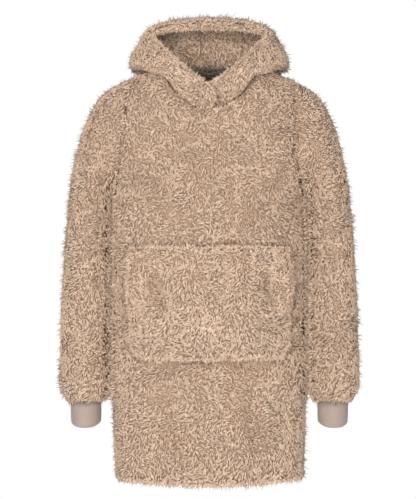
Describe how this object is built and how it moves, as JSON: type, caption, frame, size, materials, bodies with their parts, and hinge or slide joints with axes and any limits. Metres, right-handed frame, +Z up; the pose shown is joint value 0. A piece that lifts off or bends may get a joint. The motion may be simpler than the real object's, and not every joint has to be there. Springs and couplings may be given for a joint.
{
  "type": "teddy fleece hoodie",
  "caption": "Oversized beige teddy fleece pullover hoodie, hollow and filled out as worn, with a lined hood, kangaroo pocket and jersey cuffs",
  "frame": {"origin": "midway between the two points where the shoulder seams meet the neck, where the wearer's shoulders carry the garment", "axes": "+Z up, the front faces -Y, and +X is the wearer's left"},
  "size_m": [0.657, 0.3874, 1.004],
  "materials": {
    "teddy_fleece": "long curly teddy pile in swirling locks, beige with lighter tips and darker roots",
    "hood_lining_fleece": "shorter, softer pile of the same beige inside the hood",
    "cuff_jersey": "smooth fine jersey, folded double, in pale greyed beige"
  },
  "bodies": {
    "root": {"body_front": "teddy_fleece", "body_back": "teddy_fleece", "sleeve_left": "teddy_fleece", "sleeve_right": "teddy_fleece", "hood_left": "teddy_fleece", "hood_right": "teddy_fleece", "hood_lining_left": "hood_lining_fleece", "hood_lining_right": "hood_lining_fleece", "pocket": "teddy_fleece", "cuff_left": "cuff_jersey", "cuff_right": "cuff_jersey"}
  },
  "joints": []
}
